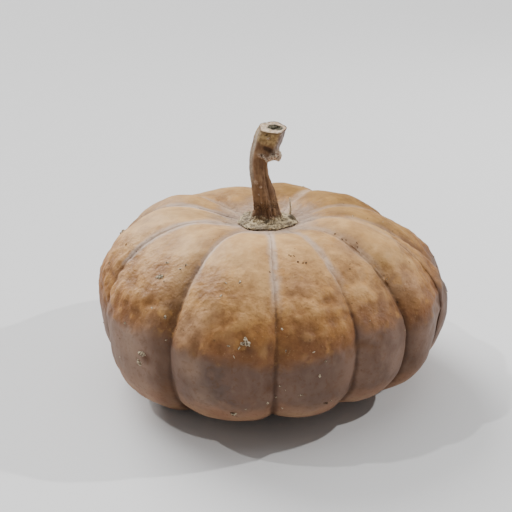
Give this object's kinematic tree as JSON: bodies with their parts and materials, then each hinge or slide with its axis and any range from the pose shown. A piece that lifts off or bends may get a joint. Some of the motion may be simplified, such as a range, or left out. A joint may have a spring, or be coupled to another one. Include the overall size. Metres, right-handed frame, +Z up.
{
  "type": "pumpkin",
  "caption": "Flattened, deeply ribbed pumpkin lying on its blossom end, with a dry, bent and ridged stalk on a corky foot.",
  "frame": {"origin": "on the resting plane, under the middle of the pumpkin's bounding box", "axes": "+Z up along the fruit's axis towards the stalk, -Y towards the side that the picture shows"},
  "size_m": [0.3025, 0.2982, 0.2209],
  "materials": {
    "rind": "dull waxy rind, beige above, orange-brown round the girth and grey-brown below",
    "stalk": "dry and ridged, with a pale corky foot and a pale cut end"
  },
  "bodies": {
    "root": {"pumpkin_body": "rind", "pumpkin_stem": "stalk"}
  },
  "joints": []
}
